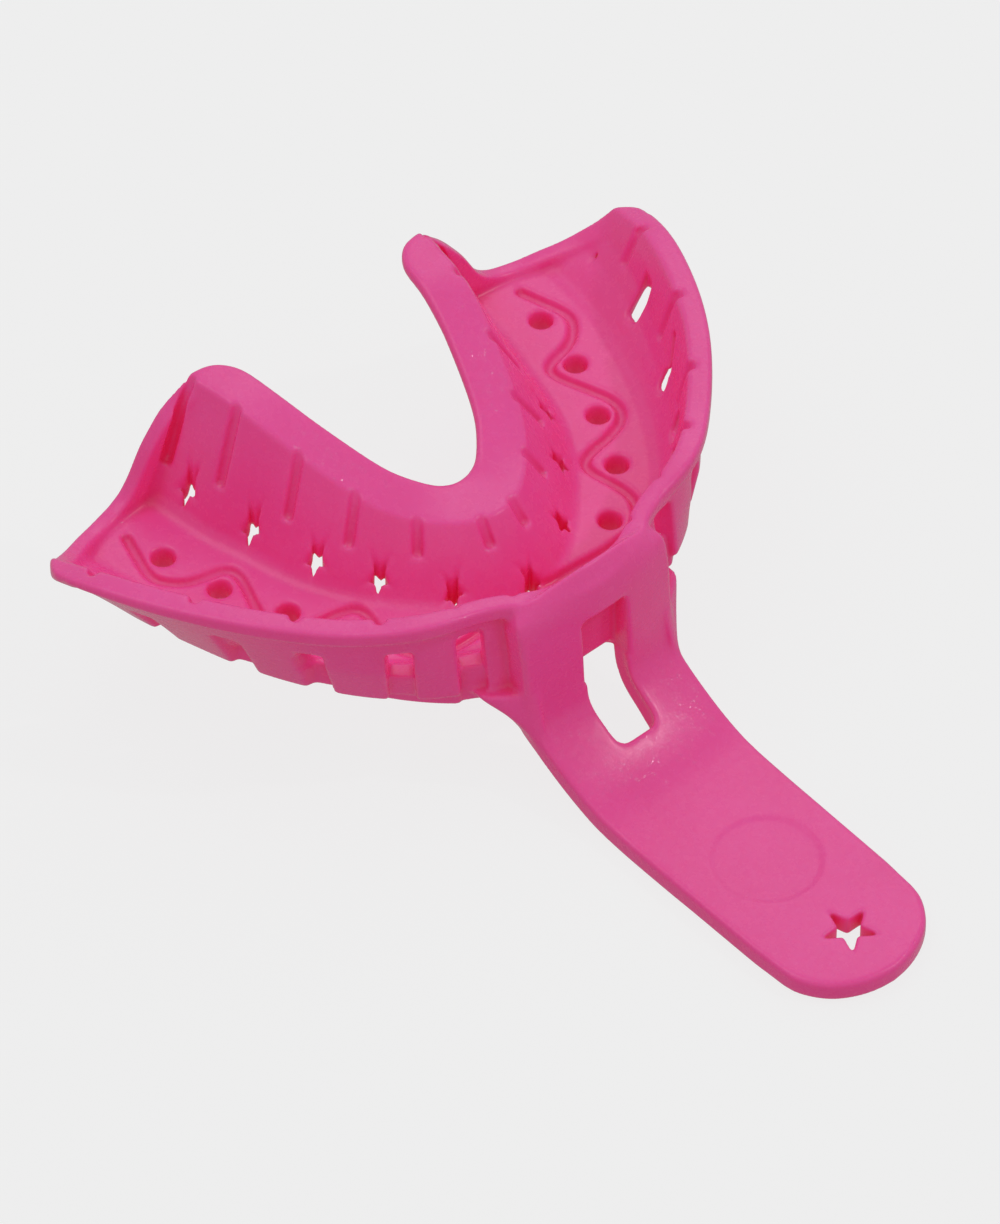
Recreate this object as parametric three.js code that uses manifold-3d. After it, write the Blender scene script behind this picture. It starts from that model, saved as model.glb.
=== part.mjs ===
// Lower dental impression tray: one injection moulding, millimetres, +Z up.
// X runs across the arch (x = 0 is the mirror plane), the handle points to -Y and the open
// ends of the two arms to +Y. While building, z = 0 is the trough floor; the finished part is
// moved so that its origin is under the middle of its length, at its lowest point.
import * as THREE from "three";
import { mergeVertices } from "three/addons/utils/BufferGeometryUtils.js";
import Module from "manifold-3d";

const SIDES = [1, -1];

// ---------------------------------------------------------------- arch dimensions
// Stations run from 0 (front centre) to 8 (end of an arm); negative ones are the mirrored arm.
// Each has a vertical section plane standing on the floor centre line.
const STATIONS = [0, 1, 2, 3, 4, 5, 6, 7, 7.3, 7.6, 8];
const CENTRE_X = [0, 4.4, 8.8, 13.2, 17.4, 20.8, 23.6, 25.4, 25.6, 25.8, 26.0];
const CENTRE_Y = [-4.4, -3.6, -1.4, 2.2, 6.8, 13.3, 20.3, 27.4, 29.9, 32.6, 36.5];
// Outward direction of the section plane, degrees from -Y.
const HEADING = [0, 12.0, 25.1, 39.6, 52.2, 61.2, 67.7, 77.8, 81.4, 85.2, 90];

// Section sizes, one value per station. A name ending in D is a distance outwards from the
// floor centre line (negative towards the tongue), one ending in Z a height above the floor.
// inner0D ... outer4D are the trough walls at heights of about 0, 1 and 4.
const SECTION = {
  flangeTipD: [-15.2, -14.9, -14.35, -14.1, -14.4, -14.65, -15.0, -15.1, -15.0, -14.85, -14.7],
  flangeTipZ: [7.0, 7.1, 7.5, 8.15, 9.2, 11.15, 13.2, 14.1, 14.1, 14.1, 14.0],
  flangeRootD: [-9.2, -9.2, -9.1, -9.1, -9.6, -10.0, -10.4, -10.6, -10.5, -10.2, -9.9],
  flangeRootZ: [6.9, 6.9, 6.95, 7.2, 8.2, 10.3, 12.9, 14.1, 14.1, 14.1, 14.0],
  inner4D: [-6.8, -6.8, -6.85, -6.85, -6.8, -6.3, -6.6, -6.56, -6.55, -6.3, -6.0],
  inner1D: [-4.4, -4.4, -4.65, -4.85, -4.9, -4.6, -5.35, -5.42, -5.4, -5.1, -4.7],
  inner0D: [-3.0, -3.0, -3.2, -3.4, -3.5, -3.2, -3.9, -3.9, -3.9, -3.6, -3.2],
  outer0D: [1.6, 1.7, 2.1, 3.2, 3.6, 4.1, 4.3, 4.4, 4.4, 4.4, 4.4],
  outer1D: [3.0, 3.0, 3.3, 4.7, 5.4, 6.1, 6.4, 6.6, 6.7, 6.8, 6.9],
  outer4D: [3.7, 3.6, 3.7, 5.5, 6.5, 7.9, 8.8, 9.8, 10.2, 10.8, 11.6],
  rimInD: [3.9, 3.6, 3.5, 6.1, 7.2, 9.2, 10.4, 11.5, 11.9, 12.2, 12.4],
  rimOutD: [6.3, 5.8, 5.6, 8.5, 9.7, 11.7, 13.0, 14.0, 14.4, 14.8, 15.0],
  rimZ: [9.0, 9.0, 9.4, 10.0, 9.6, 9.9, 9.5, 8.2, 7.2, 6.0, 5.0],
  rimDepth: [1.5, 1.5, 1.5, 1.5, 1.5, 1.45, 1.2, 0.75, 0.55, 0.4, 0.35],
  skirtD: [5.2, 5.4, 6.5, 7.6, 7.6, 7.8, 7.4, 7.35, 7.35, 7.35, 7.35],
  baseD: [4.9, 5.2, 6.35, 6.3, 5.4, 5.0, 4.9, 4.9, 4.9, 4.9, 4.9],
  baseZ: [-3.2, -3.2, -3.2, -3.1, -2.95, -2.85, -2.8, -2.8, -2.8, -2.7, -2.6],
};
const RIM_LIP = 0.85; // rim overhang beyond the outer wall
const FLANGE_THICK = 1.3;
const INNER_WALL = 1.7; // thickness of the tongue-side wall
const SKIRT_Z = -1.2; // where the outer wall ends above the base
const ARCH_STEPS_PER_ARM = 19;

// End of an arm in plan (x, y), from the flange tip round to the rim.
const END_PLAN = [
  [9.3, 26.0], [10.05, 29.3], [10.75, 31.6], [11.8, 33.5], [13.0, 34.5], [14.4, 34.8],
  [15.8, 34.85], [17.1, 35.55], [18.5, 35.95], [21.0, 36.1], [23.5, 36.1], [26.0, 35.8],
  [28.6, 35.2], [31.2, 34.25], [33.6, 33.1], [35.7, 31.8], [37.7, 30.15], [38.9, 28.55],
  [39.35, 27.2], [39.0, 25.0],
];
// Far side of the region cut away beyond that outline (x, y).
const END_CUT_CORNERS = [[60, 20], [60, 60], [4, 60], [4, 26]];

// Low lip closing the end of an arm: top height against x, and its cross-section.
const LIP_TOP = [
  [15.4, 13.3], [17.1, 11.7], [18.3, 10.5], [19.3, 9.3], [20.3, 7.9], [21.3, 6.4],
  [22.1, 4.9], [22.9, 3.4], [23.9, 2.1], [25.4, 1.15], [27.0, 0.85], [28.6, 0.85],
  [31.1, 1.4], [33.5, 2.2], [36.5, 4.4], [39.5, 7.3],
];
const LIP_LINE = END_PLAN.slice(4, 19);
const LIP_START = 0.12; // both as fractions of the length of LIP_LINE
const LIP_SPAN = 0.86;
const LIP_STEPS = 20;
const LIP_WIDTH = 1.7;
const LIP_CHAMFER = { width: 0.5, height: 0.55 };
const LIP_FOOT = 1.1; // extra width at the bottom
const LIP_OVERRUN = 1.5; // reach beyond the outline, trimmed off afterwards
const LIP_LOWEST = -1.2;
const LIP_INNER_PART = { endX: 24, height: 3.0 };
const LIP_OUTER_PART = { startX: 32, height: 2.2 };

// ---------------------------------------------------------------- outer wall openings
// Each is a recess from below plus a narrower opening into the trough. Columns: station,
// recess width, top and depth, opening half width, lowest and highest point.
const FRONT_SLOTS = [
  [2.1, 3.4, 7.0, 0.6, 1.55, 1.1, 6.3],
  [3.0, 3.0, 6.3, 0.65, 1.35, 0.9, 5.6],
];
// Further columns: outward reach of the cuts, shift along y of the recess and of the opening.
const SIDE_SLOTS = [
  [3.98, 2.9, 5.3, 0.95, 0.62, 1.7, 4.4, 16, 0, 0],
  [5.12, 3.0, 5.2, 1.0, 0.62, 1.75, 3.8, 16, 0.9, -0.3],
  [6.33, 2.6, 4.4, 1.0, 1.1, 2.1, 6.1, 10.2, 0, 0],
  [7.3, 1.1, 2.4, 0.7, 0.32, 1.9, 2.7, 16, 0, 0],
];
const SLOT_BOTTOM = -8;
const FRONT_SLOT_REACH = 14;
const SLOT_SKIN = 0.75; // wall left between a side recess and the trough

// ---------------------------------------------------------------- holes and grooves
const FLOOR_HOLES = [[25.5, 27.4], [24.0, 20.3], [20.9, 13.3], [17.7, 6.8], [12.0, 1.4]];
const FLOOR_HOLE_RADIUS = 1.25;
// Star holes: x, y, direction of the outward point in degrees from -Y.
const STARS = [
  [0, 0.1, 0], [7.2, 3.6, 27.7], [12.06, 9.42, 50], [15.42, 15.24, 60.4],
  [17.6, 22.6, 67.7], [19.1, 30.7, 81.4],
];
const STAR_RADIUS = 1.25;
const STAR_WAIST = 0.4; // inner radius as a fraction of the outer one

// Grooves on the inner wall: station, height of the lower end.
const INNER_GROOVES = [[0.82, 4.9], [2.95, 4.6], [4.38, 4.8], [5.42, 5.65], [6.72, 5.85], [7.7, 5.0]];
const OUTER_GROOVES = [1.5, 2.5, 3.5, 4.52, 5.7, 6.95]; // stations
const WALL_GROOVE_WIDTH = 1.25;
// Grooves running up from two of the outer openings: station, d, z at the top, then the bottom.
const SLOT_GROOVES = [[5.34, 8.9, 6.8, 5.14, 7.9, 3.4], [3.62, 6.9, 7.6, 3.93, 6.1, 2.1]];
const SLOT_GROOVE_WIDTH = 1.0;

// Weaving groove in the trough floor (x, y), from near an arm end to the front centre.
const TRACK = [
  [26.6, 31.8], [27.2, 29.8], [28.3, 26.3], [27.6, 24.6], [25.6, 22.8], [21.7, 22.1],
  [21.2, 20.5], [22.4, 17.2], [23.6, 13.9], [23.0, 11.6], [20.3, 10.3], [15.9, 9.8],
  [14.9, 8.3], [15.6, 5.6], [16.1, 2.2], [13.9, -1.0], [9.6, -1.6], [4.0, -1.0], [0, -1.2],
];
const TRACK_WIDTH = 1.0;
const TRACK_DEPTH = 0.75;
const TRACK_TOP = 1.2;
const TRACK_STEPS = 34;

// ---------------------------------------------------------------- handle dimensions
// Stepped handle, from the rim down the front leg and out along the grip. Columns: y and z of
// the front or top edge line, half width, height of the crown on that face.
const GRIP_TOP_Z = -11.3;
const GRIP = [
  [-7.7, 8.6, 8.9, 2.6], [-8.7, 8.0, 9.4, 2.1], [-9.3, 7.0, 9.7, 1.8], [-9.7, 5.2, 9.7, 1.6],
  [-10.1, 2.2, 9.65, 1.45], [-10.45, -0.9, 9.6, 1.3], [-10.8, -3.6, 9.5, 1.15],
  [-11.25, -5.5, 9.45, 1.05], [-12.2, -6.7, 9.4, 0.95], [-14.0, -7.85, 9.35, 0.85],
  [-16.3, -9.05, 9.3, 0.65], [-18.3, -9.9, 9.25, 0.4], [-20.9, -10.75, 9.2, 0.15],
  [-24.0, -11.2, 9.1, 0], [-27.0, GRIP_TOP_Z, 9.05, 0], [-36.0, GRIP_TOP_Z, 8.9, 0],
  [-46.5, GRIP_TOP_Z, 8.75, 0],
];
const GRIP_FLAT_ROW = 13; // from this row of GRIP on, only the listed rows become rings
const GRIP_STEP = 1.25; // ring spacing before it
const GRIP_THICK = 2.3;
// Rounded free end in plan: y, half width.
const GRIP_END = [
  [-48.2, 8.5], [-49.6, 8.0], [-51.2, 6.95], [-52.4, 5.75], [-53.4, 3.9], [-54.1, 1.9],
  [-54.35, 0.6],
];
const GRIP_ACROSS = [-1, -0.92, -0.7, -0.4, 0, 0.4, 0.7, 0.92, 1]; // fractions of half width
const GRIP_STAR = { x: 0, y: -47.9, radius: 3.1 };
const GRIP_RECESS = { x: 0, y: -35.8, radius: 5.6, depth: 0.25 };

// Window through the leg and the bend. The block behind the leg closes its upper part.
const WINDOW = { half: 2.85, top: 5.4, halfEnd: 2.6, backY: -9.35, endY: -16.7 };

// Block joining the leg to the arch: heights of its rings, then its two faces.
const BLOCK_Z = [-2.9, -1, 2, 5, 7.6];
const BLOCK_FRONT = { half: 9.6, y: -9.9, crown: 1.15 };
const BLOCK_BACK = { half: 9.4, y: -6.6, crown: 1.6 };

// Side gusset outline (half width, height), its inner edge and its slanted slab.
const GUSSET = [
  [13.0, -1.9], [12.9, -2.2], [12.3, -2.8], [11.5, -3.9], [10.75, -5.1], [10.15, -6.4],
  [9.75, -7.6], [9.2, -8.8],
];
const GUSSET_INNER_X = 9.0;
const GUSSET_SLAB = { frontY: -7.2, thick: 2.2, slopeX: 0.75, slopeZ: 0.3, pivotX: 9.6, shift: 0.65 };

// ---------------------------------------------------------------- curves
// Cubic interpolation through knots, held constant beyond them; flatStart makes the first
// slope zero so that mirrored halves meet smoothly.
function spline(xs, ys, x, flatStart = false) {
  const last = xs.length - 1;
  const clamped = Math.min(Math.max(x, xs[0]), xs[last]);
  let i = 0;
  while (i < last - 1 && clamped > xs[i + 1]) i++;
  const slope = (k) => {
    if (k === 0) return flatStart ? 0 : (ys[1] - ys[0]) / (xs[1] - xs[0]);
    if (k === last) return (ys[k] - ys[k - 1]) / (xs[k] - xs[k - 1]);
    const before = xs[k] - xs[k - 1];
    const after = xs[k + 1] - xs[k];
    const slopeBefore = (ys[k] - ys[k - 1]) / before;
    const slopeAfter = (ys[k + 1] - ys[k]) / after;
    return (slopeBefore * after + slopeAfter * before) / (before + after);
  };
  const span = xs[i + 1] - xs[i];
  const t = (clamped - xs[i]) / span;
  const t2 = t * t;
  const t3 = t2 * t;
  return (2 * t3 - 3 * t2 + 1) * ys[i] + (t3 - 2 * t2 + t) * slope(i) * span
    + (-2 * t3 + 3 * t2) * ys[i + 1] + (t3 - t2) * slope(i + 1) * span;
}

// Station curves that are equal, or opposite, on the two arms.
const even = (values, station) => spline(STATIONS, values, Math.abs(station), true);
const odd = (values, station) =>
  Math.sign(station) * spline(STATIONS, values, Math.abs(station));

const headingAt = (station) => (odd(HEADING, station) * Math.PI) / 180;
const column = (table, i) => table.map((row) => row[i]);
const mirror = (points) => points.map(([x, y]) => [-x, y]);

// Running length along a polyline held in the first two columns of a table.
function runningLength(rows) {
  const lengths = [0];
  for (let i = 1; i < rows.length; i++) {
    const step = Math.hypot(rows[i][0] - rows[i - 1][0], rows[i][1] - rows[i - 1][1]);
    lengths.push(lengths[i - 1] + step);
  }
  return lengths;
}

// Point of the arch at a station, distance d out from the floor centre line, height z.
function at(station, d, z) {
  const a = headingAt(station);
  return [
    odd(CENTRE_X, station) + d * Math.sin(a),
    even(CENTRE_Y, station) - d * Math.cos(a),
    z,
  ];
}

function sectionAt(station) {
  const entries = Object.entries(SECTION);
  return Object.fromEntries(entries.map(([name, values]) => [name, even(values, station)]));
}

// ---------------------------------------------------------------- solids
const wasm = await Module();
wasm.setup();

function solid(positions, triangles) {
  return new wasm.Manifold(new wasm.Mesh({
    numProp: 3,
    vertProperties: new Float32Array(positions),
    triVerts: new Uint32Array(triangles),
  }));
}

function fromGeometry(geometry) {
  geometry.deleteAttribute("normal");
  geometry.deleteAttribute("uv");
  const merged = mergeVertices(geometry, 1e-4);
  return solid(merged.attributes.position.array, merged.index.array);
}

// Triangles over a flat closed ring, as indices into it.
function capTriangles(ring) {
  const normal = new THREE.Vector3();
  ring.forEach((point, i) => {
    const next = ring[(i + 1) % ring.length];
    normal.add(new THREE.Vector3(...point).cross(new THREE.Vector3(...next)));
  });
  normal.normalize();
  const upright = Math.abs(normal.z) < 0.9;
  const across = new THREE.Vector3(upright ? 0 : 1, 0, upright ? 1 : 0).cross(normal).normalize();
  const up = normal.clone().cross(across);
  const flat = ring.map((point) => {
    const p = new THREE.Vector3(...point);
    return new THREE.Vector2(p.dot(across), p.dot(up));
  });
  return THREE.ShapeUtils.triangulateShape(flat, []);
}

// Tube through rings of equal length, capped at both ends.
function loft(rings) {
  const n = rings[0].length;
  const points = rings.flat(2);
  const triangles = [];
  for (let r = 0; r + 1 < rings.length; r++)
    for (let k = 0; k < n; k++) {
      const a = r * n + k;
      const b = r * n + ((k + 1) % n);
      triangles.push(a, b, b + n, a, b + n, a + n);
    }
  for (const [i, j, k] of capTriangles(rings[0])) triangles.push(i, k, j);
  const offset = (rings.length - 1) * n;
  for (const face of capTriangles(rings[rings.length - 1]))
    triangles.push(...face.map((v) => v + offset));

  const body = solid(points, triangles);
  if (body.volume() >= 0) return body;
  // The rings ran the other way round: turn every triangle over.
  for (let i = 0; i < triangles.length; i += 3)
    [triangles[i + 1], triangles[i + 2]] = [triangles[i + 2], triangles[i + 1]];
  return solid(points, triangles);
}

function extrusion(outline, depth) {
  const shape = new THREE.Shape(outline.map(([x, y]) => new THREE.Vector2(x, y)));
  return new THREE.ExtrudeGeometry(shape, { depth, bevelEnabled: false });
}

// Vertical prism over a closed outline, from z0 to z1.
const prism = (outline, z0, z1) =>
  fromGeometry(extrusion(outline, z1 - z0).translate(0, 0, z0));

function uprightCylinder(x, y, z, radius, height, segments) {
  const geometry = new THREE.CylinderGeometry(radius, radius, height, segments);
  return fromGeometry(geometry.rotateX(Math.PI / 2).translate(x, y, z));
}

// ---------------------------------------------------------------- arch
// Closed section (d, z): trough surface from tongue to cheek, then back underneath.
function profile(station) {
  const {
    flangeTipD: tip, flangeTipZ: tipZ, flangeRootD: root, flangeRootZ: rootZ,
    inner4D: in4, inner1D: in1, inner0D: in0, outer0D: out0, outer1D: out1, outer4D: out4,
    rimInD: rimIn, rimOutD: rimOut, rimZ, rimDepth, skirtD: skirt, baseD: base, baseZ,
  } = sectionAt(station);
  const distance = Math.abs(station);
  // Heavier underside at the front, fading out along the arms.
  const front = Math.min(Math.max((4.6 - distance) / 2.2, 0), 1);
  const heavy = front * front * (3 - 2 * front);
  // The outer wall is drawn in towards the arm ends and bulges around station 3.6.
  const bulge = 0.5 * Math.exp(-(((distance - 3.6) / 0.7) ** 2));
  const tuck = Math.max(0, distance - 6.6) * 0.5 - bulge;
  return [
    // flange top
    [tip + 0.35, tipZ], [root - 0.35, rootZ], [root + 0.15, rootZ - 0.35],
    // inner trough wall and floor
    [in4, 4], [in4 * 0.35 + in1 * 0.65, 2.15], [in1, 1.15], [(in1 + in0) / 2, 0.32], [in0, 0],
    // outer trough wall
    [out0, 0], [(out0 + out1) / 2, 0.28], [out1, 1.1], [(out1 + out4) / 2 + 0.2, 2.35],
    [out4, 4], [out4 * 0.45 + rimIn * 0.55, 4 + (rimZ - 4.2) * 0.6],
    // rolled rim
    [rimIn - 0.1, rimZ - 0.35], [rimIn + 0.35, rimZ], [rimOut - 0.45, rimZ],
    [rimOut - 0.1, rimZ - rimDepth * 0.2], [rimOut, rimZ - rimDepth * 0.5],
    [rimOut - 0.2, rimZ - rimDepth],
    // outside of the outer wall
    [rimOut - RIM_LIP, rimZ - rimDepth - 0.5],
    [(rimOut - RIM_LIP + skirt) / 2 - tuck, (rimZ - 3) / 2],
    [skirt + 0.1, SKIRT_Z + 0.5], [skirt - 0.25, SKIRT_Z],
    // base
    [base, SKIRT_Z - 0.45], [base - 0.05, baseZ + 0.35], [base - 0.45, baseZ],
    [in0 + 0.5, baseZ], [in0 - 0.2, baseZ + 0.2],
    // back of the inner wall
    [in1 - 0.7 - 0.5 * heavy, -0.3 - 1.9 * heavy], [in1 - INNER_WALL - heavy, 1.5 - 0.9 * heavy],
    [in4 - INNER_WALL - 0.5 * heavy, 3.8 - 0.5 * heavy],
    // flange underside and tip
    [root - INNER_WALL + 0.1, rootZ - FLANGE_THICK - 0.5],
    [root - INNER_WALL - 0.6, rootZ - FLANGE_THICK],
    [tip + 0.3, tipZ - FLANGE_THICK], [tip, tipZ - FLANGE_THICK + 0.35], [tip, tipZ - 0.35],
  ];
}

function arch() {
  const rings = [];
  for (let i = -ARCH_STEPS_PER_ARM; i <= ARCH_STEPS_PER_ARM; i++) {
    const station = (8 * i) / ARCH_STEPS_PER_ARM;
    rings.push(profile(station).map(([d, z]) => at(station, d, z)));
  }
  return loft(rings);
}

function lipBottom(x, top) {
  if (x < LIP_INNER_PART.endX) return Math.max(LIP_LOWEST, top - LIP_INNER_PART.height);
  if (x > LIP_OUTER_PART.startX) return Math.max(LIP_LOWEST, top - LIP_OUTER_PART.height);
  return LIP_LOWEST;
}

// Strip that follows the end outline of one arm.
function lip(side) {
  const lengths = runningLength(LIP_LINE);
  const total = lengths[lengths.length - 1];
  const lineAt = (s) => [0, 1].map((i) => spline(lengths, column(LIP_LINE, i), s));
  const rings = [];
  for (let k = 0; k <= LIP_STEPS; k++) {
    const s = total * (LIP_START + (LIP_SPAN * k) / LIP_STEPS);
    const [x, y] = lineAt(s);
    const [nextX, nextY] = lineAt(s + 0.05);
    const step = Math.hypot(nextX - x, nextY - y);
    const inwardX = (nextY - y) / step;
    const inwardY = -(nextX - x) / step;
    const point = (inset, z) => [side * (x + inwardX * inset), y + inwardY * inset, z];
    const top = spline(column(LIP_TOP, 0), column(LIP_TOP, 1), x);
    const bottom = lipBottom(x, top);
    rings.push([
      point(LIP_WIDTH, top - LIP_CHAMFER.height),
      point(LIP_WIDTH - LIP_CHAMFER.width, top),
      point(-LIP_OVERRUN, top),
      point(-LIP_OVERRUN, bottom),
      point(LIP_WIDTH + LIP_FOOT, bottom),
    ]);
  }
  return loft(rings);
}

// Everything beyond the end outline of one arm.
function endTrim(side) {
  const outline = [...END_PLAN, ...END_CUT_CORNERS];
  return prism(side > 0 ? outline.reverse() : mirror(outline), -20, 30);
}

// ---------------------------------------------------------------- outer wall openings
// Box reaching outwards from distance d, square to the section plane.
function outwardBox(station, d, width, z0, z1) {
  const [x, y] = at(station, 0, 0);
  const geometry = new THREE.BoxGeometry(width, FRONT_SLOT_REACH, z1 - z0);
  geometry.translate(0, -(d + FRONT_SLOT_REACH / 2), (z0 + z1) / 2);
  geometry.rotateZ(headingAt(station));
  return fromGeometry(geometry.translate(x, y, 0));
}

function frontSlot([station, width, top, depth, half, low, high], side) {
  const { skirtD, outer1D } = sectionAt(station);
  return [
    outwardBox(side * station, skirtD - depth, width, SLOT_BOTTOM, top),
    outwardBox(side * station, outer1D - 0.6, 2 * half, low, high),
  ];
}

// Distance of the outer trough wall surface at height z.
function outerWallD({ outer1D, outer4D, rimInD, rimZ }, z) {
  const middle = (outer1D + outer4D) / 2 + 0.2;
  if (z < 2.35) return outer1D + ((middle - outer1D) * (z - 1.1)) / 1.25;
  if (z < 4) return middle + ((outer4D - middle) * (z - 2.35)) / 1.65;
  const upper = outer4D * 0.45 + rimInD * 0.55;
  return outer4D + ((upper - outer4D) * (z - 4)) / ((rimZ - 4.2) * 0.6);
}

// Square to the arm: section outlines (d, z) swept between two planes of constant y.
function sideSlot(row, side) {
  const [station, width, top, depth, half, low, high, reach, recessShift, openingShift] = row;
  const section = sectionAt(station);
  const a = headingAt(side * station);
  const [centreX, centreY] = at(side * station, 0, 0);
  const slotY = at(side * station, section.skirtD + 0.3, 0)[1];
  const sweep = (outline, middleY, halfWidth) => {
    const ringAt = (y) => outline.map(([d, z]) => {
      const along = ((y - centreY + d * Math.cos(a)) * Math.cos(a)) / Math.sin(a);
      return [centreX + d * Math.sin(a) + along, y, z];
    });
    return loft([ringAt(middleY - halfWidth), ringAt(middleY + halfWidth)]);
  };
  const floorD = section.skirtD - depth;
  const skinD = (z) => Math.max(floorD, outerWallD(section, z) + SLOT_SKIN);
  const recess = [
    [floorD, SLOT_BOTTOM], [reach, SLOT_BOTTOM], [reach, top], [skinD(top), top],
    [skinD(2.35), 2.35], [skinD(1.2), 1.2], [floorD, 0.6],
  ];
  const opening = [
    [outerWallD(section, low) - 0.8, low], [reach, low],
    [reach, high], [outerWallD(section, high) - 0.8, high],
  ];
  return [
    sweep(recess, slotY + recessShift, (width / 2) * Math.sin(Math.abs(a))),
    sweep(opening, slotY + openingShift, half),
  ];
}

// ---------------------------------------------------------------- leg and handle
// Cross-section of the handle; (normalY, normalZ) points from the crowned face into it.
function gripRing(y, z, half, crown, normalY, normalZ) {
  const point = (f, depth) => {
    const inset = depth - crown * (1 - f * f);
    return [f * half, y + inset * normalY, z + inset * normalZ];
  };
  return [
    ...GRIP_ACROSS.map((f) => point(f, 0)),
    ...GRIP_ACROSS.toReversed().map((f) => point(f, GRIP_THICK)),
  ];
}

function handle() {
  const lengths = runningLength(GRIP);
  const curve = (i, s) => spline(lengths, column(GRIP, i), s);
  const stops = [];
  for (let s = 0; s < lengths[GRIP_FLAT_ROW]; s += GRIP_STEP) stops.push(s);
  stops.push(...lengths.slice(GRIP_FLAT_ROW));
  const rings = stops.map((s) => {
    const before = Math.max(s - 0.4, 0);
    const after = Math.min(s + 0.4, lengths[lengths.length - 1]);
    const dy = curve(0, after) - curve(0, before);
    const dz = curve(1, after) - curve(1, before);
    const step = Math.hypot(dy, dz);
    return gripRing(curve(0, s), curve(1, s), curve(2, s), curve(3, s), -dz / step, dy / step);
  });
  for (const [y, half] of GRIP_END) rings.push(gripRing(y, GRIP_TOP_Z, half, 0, 0, -1));
  return loft(rings);
}

function frontBlock() {
  const rings = BLOCK_Z.map((z) => {
    const lean = Math.max(0, z - 4) * 0.3;
    const flare = z < 0 ? 0.1 * -z : 0;
    const ring = [];
    for (let f = -1; f <= 1; f += 0.25) {
      const y = BLOCK_FRONT.y - BLOCK_FRONT.crown * (1 - f * f) - flare + lean;
      ring.push([f * BLOCK_FRONT.half, y, z]);
    }
    for (let f = 1; f >= -1; f -= 0.25)
      ring.push([f * BLOCK_BACK.half, BLOCK_BACK.y - BLOCK_BACK.crown * (1 - f * f), z]);
    return ring;
  });
  return loft(rings);
}

// Side gusset where the leg widens into the underside of the arch.
function gusset(side) {
  const { frontY, thick, slopeX, slopeZ, pivotX, shift } = GUSSET_SLAB;
  const outline = [[GUSSET_INNER_X, -1.9], ...GUSSET, [GUSSET_INNER_X, -8.8]];
  const geometry = extrusion(outline.map(([x, z]) => [side * x, z]), thick);
  geometry.rotateX(Math.PI / 2); // outline height becomes z, the extrusion runs to -y
  geometry.translate(0, frontY, 0);
  // Shear along y so that the slab slants backwards going outwards and upwards.
  geometry.applyMatrix4(new THREE.Matrix4().set(
    1, 0, 0, 0,
    side * slopeX, 1, slopeZ, -slopeX * pivotX + shift,
    0, 0, 1, 0,
    0, 0, 0, 1,
  ));
  return fromGeometry(geometry);
}

// ---------------------------------------------------------------- cuts
function starOutline(x, y, radius, turn) {
  const outline = [];
  for (let k = 0; k < 10; k++) {
    const a = turn + (k * Math.PI) / 5;
    const r = k % 2 ? radius * STAR_WAIST : radius;
    outline.push([x + r * Math.cos(a), y + r * Math.sin(a)]);
  }
  return outline;
}

function starHole([x, y, degrees], side) {
  const turn = ((degrees - 90) * Math.PI) / 180;
  const outline = starOutline(side * x, y, STAR_RADIUS, side > 0 ? turn : Math.PI - turn);
  return prism(outline, -8, 7.5);
}

// Round-ended bar between two points, turned to lie along the wall at the given station.
function bar(station, from, to, width) {
  const start = new THREE.Vector3(...from);
  const end = new THREE.Vector3(...to);
  const geometry = new THREE.CapsuleGeometry(width / 2, start.distanceTo(end), 2, 6);
  const a = headingAt(station);
  const yAxis = end.clone().sub(start).normalize();
  const alongWall = new THREE.Vector3(Math.cos(a), Math.sin(a), 0);
  const zAxis = new THREE.Vector3().crossVectors(alongWall, yAxis).normalize();
  const xAxis = new THREE.Vector3().crossVectors(yAxis, zAxis);
  const placement = new THREE.Matrix4().makeBasis(xAxis, yAxis, zAxis);
  placement.setPosition(start.add(end).divideScalar(2));
  return fromGeometry(geometry.applyMatrix4(placement));
}

function innerGroove([station, low], side) {
  const { flangeRootD, flangeRootZ, inner4D } = sectionAt(station);
  const u = side * station;
  const lowD = inner4D + (flangeRootD - inner4D) * ((low - 4) / (flangeRootZ - 4));
  const top = at(u, flangeRootD - 0.05, flangeRootZ + 0.6);
  return bar(u, top, at(u, lowD + 0.1, low), WALL_GROOVE_WIDTH);
}

function outerGroove(station, side) {
  const { rimInD, rimZ, outer4D } = sectionAt(station);
  const u = side * station;
  return bar(u, at(u, rimInD + 0.35, rimZ + 0.5), at(u, outer4D - 0.15, 4.2), WALL_GROOVE_WIDTH);
}

function slotGroove([topStation, topD, topZ, lowStation, lowD, lowZ], side) {
  const top = at(side * topStation, topD, topZ);
  const low = at(side * lowStation, lowD, lowZ);
  return bar(side * topStation, top, low, SLOT_GROOVE_WIDTH);
}

function track(side) {
  const knots = TRACK.map(([x, y]) => new THREE.Vector3(side * x, y, 0));
  const points = new THREE.CatmullRomCurve3(knots, false, "centripetal").getPoints(TRACK_STEPS);
  const half = TRACK_WIDTH / 2;
  const section = [
    [-half, TRACK_TOP], [-half, -TRACK_DEPTH * 0.6], [-half * 0.5, -TRACK_DEPTH],
    [half * 0.5, -TRACK_DEPTH], [half, -TRACK_DEPTH * 0.6], [half, TRACK_TOP],
  ];
  return loft(points.map(({ x, y }, i) => {
    const before = points[Math.max(i - 1, 0)];
    const after = points[Math.min(i + 1, points.length - 1)];
    const step = Math.hypot(after.x - before.x, after.y - before.y);
    const normalX = -(after.y - before.y) / step;
    const normalY = (after.x - before.x) / step;
    return section.map(([offset, z]) => [x + normalX * offset, y + normalY * offset, z]);
  }));
}

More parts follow.
